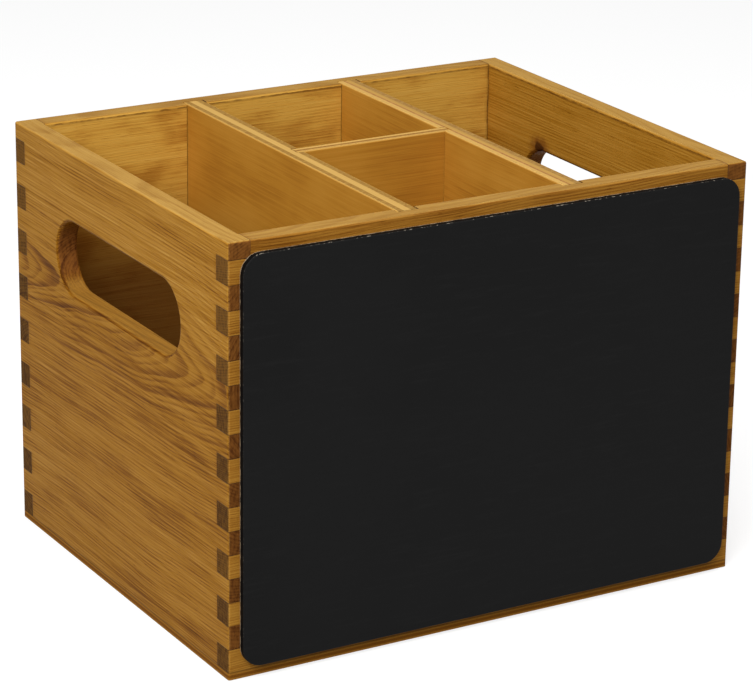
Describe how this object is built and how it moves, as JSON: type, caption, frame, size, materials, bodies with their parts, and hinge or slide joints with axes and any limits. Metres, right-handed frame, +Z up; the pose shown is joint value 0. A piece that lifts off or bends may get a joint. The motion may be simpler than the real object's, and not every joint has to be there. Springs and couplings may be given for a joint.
{
  "type": "utensil caddy",
  "caption": "Open-topped stained wood utensil caddy with finger-jointed corners, a hand slot in each end, lift-out grooved dividers and a chalkboard panel on the front.",
  "frame": {"origin": "middle of the whole object's footprint, on the surface that it stands on", "axes": "+X to the right along the chalkboard front, +Y from the front to the back, +Z up"},
  "size_m": [0.24, 0.197, 0.18],
  "materials": {
    "stained_pine": "honey-brown stained softwood, sanded, with a thin satin lacquer and darker end grain at the finger joints",
    "divider_board": "stained plywood, satin, with pale and dark plies showing on its edges",
    "base_sheet": "thin stained plywood, matt underneath",
    "chalkboard_paint": "matt black chalkboard paint on a thin panel, slightly chipped along its edges",
    "pin_steel": "plain steel pin heads"
  },
  "bodies": {
    "box": {"left_end": "stained_pine", "right_end": "stained_pine", "front_wall": "stained_pine", "back_wall": "stained_pine", "base_panel": "base_sheet", "base_pins": "pin_steel", "chalkboard": "chalkboard_paint"},
    "left_divider": {"left_divider": "divider_board"},
    "right_divider": {"right_divider": "divider_board"},
    "cross_divider": {"cross_divider": "divider_board"}
  },
  "joints": [
    {"name": "left_divider_lift", "type": "slide", "parent": "box", "child": "left_divider", "axis": [0, 0, 1], "range_m": [0, 0.185]},
    {"name": "right_divider_lift", "type": "slide", "parent": "box", "child": "right_divider", "axis": [0, 0, 1], "range_m": [0, 0.185]},
    {"name": "cross_divider_lift", "type": "slide", "parent": "box", "child": "cross_divider", "axis": [0, 0, 1], "range_m": [0, 0.185]}
  ]
}
